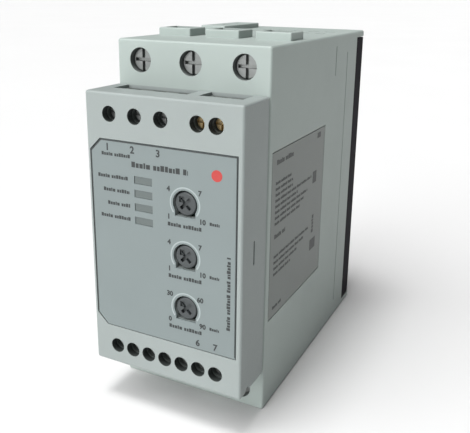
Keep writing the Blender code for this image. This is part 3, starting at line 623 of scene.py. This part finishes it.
def make_dial(dial):
    """A trim dial with a fine-toothed rim and a cross recess whose long arm ends in an arrow."""
    node = f"{dial}_dial"
    low, high = box_mm(node)
    centre, radius = (low + high) / 2, (high.x - low.x) / 2
    length = high.y - low.y
    rim, head, shaft, tooth, teeth = 0.4, 2.1, 1.5, 0.10, 32

    def radius_at(depth, turn):
        if depth <= rim:
            return radius - rim + math.sqrt(max(0.0, rim ** 2 - (rim - depth) ** 2)) - tooth
        if depth <= head:
            return radius - tooth * (1 + math.cos(2 * math.pi * teeth * turn)) / 2
        return shaft

    depths = [rim * step / 5 for step in range(6)] + [rim + 0.1, head, head + 0.001, length]
    bm = bmesh.new()
    turned(bm, centre, low.y, radius_at, depths, teeth * 4)
    piece = add_piece(f"{node}_finished", mesh_from(node, bm), slots[node], body_of[node], replaced=node)
    place = (Matrix.Translation(Vector((centre.x, low.y, centre.z)) * MM)
             @ Matrix.Rotation(-DIAL_REST_TURN, 4, "Y"))
    across, along = (-DIAL_SLOT, DIAL_SLOT), (-DIAL_ARM, DIAL_ARM)
    depth = (-CUT_PAST, DIAL_SLOT_DEPTH)
    carve(piece, f"{node} slot", (across, depth, along), place)
    carve(piece, f"{node} arms", (along, depth, across), place)
    carve_arrow(piece, node, place)
    keep_flat(piece)


def carve_arrow(piece, node, place):
    """The arrow head: a square on its corner, cut less deep than the cross."""
    tilt = Matrix.Translation((0, 0, ARROW_MIDDLE * MM)) @ Matrix.Rotation(math.radians(45), 4, "Y")
    side = (-ARROW_HALF, ARROW_HALF)
    carve(piece, f"{node} arrow", (side, (-CUT_PAST, ARROW_DEPTH), side), place @ tilt)


# Stage, light and camera

CAMERA_MM = (83.8, -177.3, 112.8)
CAMERA_AZIMUTH, CAMERA_ELEVATION, CAMERA_ROLL = 26.4, 15.6, 0.75
FOCAL_SHARE = 1.37  # focal length over image width
SHIFT_Y = -0.10
AMBIENT, BACKDROP = 0.12, 1.0


def make_camera():
    azimuth, elevation = math.radians(CAMERA_AZIMUTH), math.radians(CAMERA_ELEVATION)
    forward = Vector((-math.sin(azimuth) * math.cos(elevation), math.cos(azimuth) * math.cos(elevation),
                      -math.sin(elevation)))
    data = bpy.data.cameras.new("camera")
    data.sensor_width = 36.0
    data.lens = FOCAL_SHARE * data.sensor_width
    data.shift_y = SHIFT_Y
    data.clip_start = 0.01
    camera = bpy.data.objects.new("camera", data)
    camera.rotation_mode = "QUATERNION"
    camera.rotation_quaternion = (forward.to_track_quat("-Z", "Y")
                                  @ Matrix.Rotation(math.radians(CAMERA_ROLL), 4, "Z").to_quaternion())
    camera.location = Vector(CAMERA_MM) * MM
    bpy.context.scene.collection.objects.link(camera)
    bpy.context.scene.camera = camera


def add_light(name, azimuth, elevation, power, width):
    """An even light from one side; its width in degrees softens the shadows."""
    a, e = math.radians(azimuth), math.radians(elevation)
    back = Vector((math.sin(a) * math.cos(e), -math.cos(a) * math.cos(e), math.sin(e)))
    data = bpy.data.lights.new(name, "SUN")
    data.energy = power
    data.angle = math.radians(width)
    light = bpy.data.objects.new(name, data)
    light.location = back
    light.rotation_mode = "QUATERNION"
    light.rotation_quaternion = (-back).to_track_quat("-Z", "Y")
    bpy.context.scene.collection.objects.link(light)


def make_world():
    """Dim light from all round, in front of a white backdrop."""
    world = bpy.data.worlds.new("studio")
    world.use_nodes = True
    tree = world.node_tree
    background = tree.nodes["Background"]
    background.inputs["Color"].default_value = (1.0, 1.0, 1.0, 1.0)
    path = tree.nodes.new("ShaderNodeLightPath")
    strength = tree.nodes.new("ShaderNodeMapRange")
    strength.inputs["To Min"].default_value = AMBIENT
    strength.inputs["To Max"].default_value = BACKDROP
    tree.links.new(path.outputs["Is Camera Ray"], strength.inputs["Value"])
    tree.links.new(strength.outputs["Result"], background.inputs["Strength"])
    bpy.context.scene.world = world


def make_studio():
    add_light("key", -30, 50, 2.6, 60)
    add_light("front fill", -12, 6, 2.4, 40)
    add_light("top fill", -30, 80, 1.8, 20)
    add_light("back fill", 165, 35, 0.4, 60)
    make_world()
    bpy.context.scene.view_settings.view_transform = "Standard"
    bm = bmesh.new()
    bmesh.ops.create_grid(bm, x_segments=1, y_segments=1, size=20.0)
    mesh = bpy.data.meshes.new("floor")
    bm.to_mesh(mesh)
    bm.free()
    floor = bpy.data.objects.new("floor", mesh)
    floor.location.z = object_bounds()[0].z
    bpy.context.scene.collection.objects.link(floor)
    pale = surface("pale floor", (0.70, 0.70, 0.70), 0.7, tint=0.01, patch=5.0, grain=900.0)
    mesh.materials.append(pale)


# The object

EDGES = {  # radius of the edges on each node that gets a finer copy
    "main_housing": 0.22, "front_cover": 0.22, "heat_sink": 0.2, "rail_bracket": 0.2, "rail_latch": 0.25,
    "light_guide": 0.1, "supply_terminals": 0.15, "start_terminals": 0.15, "signal_terminals": 0.15,
}

shells = {node_name: finish_node(node_name, edge) for node_name, edge in EDGES.items()}
control_screws = [f"{group}_screw_{number}" for group, count in CONTROL_GROUPS.items()
                  for number in range(1, count + 1)]
power_screws = [f"{side}_screw_{pole}" for side in ("line", "load") for pole in POLES]
widen_panes(shells["light_guide"])
# Painted shade in the screw bores: darker walls round the control and power screws.
shade_funnels(shells["front_cover"], control_screws, CONTROL_SHADE_REACH, "bore_shade")
shade_funnels(shells["main_housing"], power_screws, POWER_SHADE_REACH, "wide_bore_shade")
for side in ("line", "load"):
    for pole in POLES:
        finish_node(f"{side}_clamp_{pole}", CLAMP_EDGE)
        make_screw(f"{side}_screw_{pole}", **POWER_SCREW)
for screw_name in control_screws:
    make_screw(screw_name, **CONTROL_SCREW)
for dial_name in DIALS:
    make_dial(dial_name)
make_spring()
make_face_print()
make_side_print()

for node_name, node in frame["nodes"].items():
    node.data.materials.clear()
    node.data.materials.append(materials[slots[node_name]])

make_studio()
make_camera()
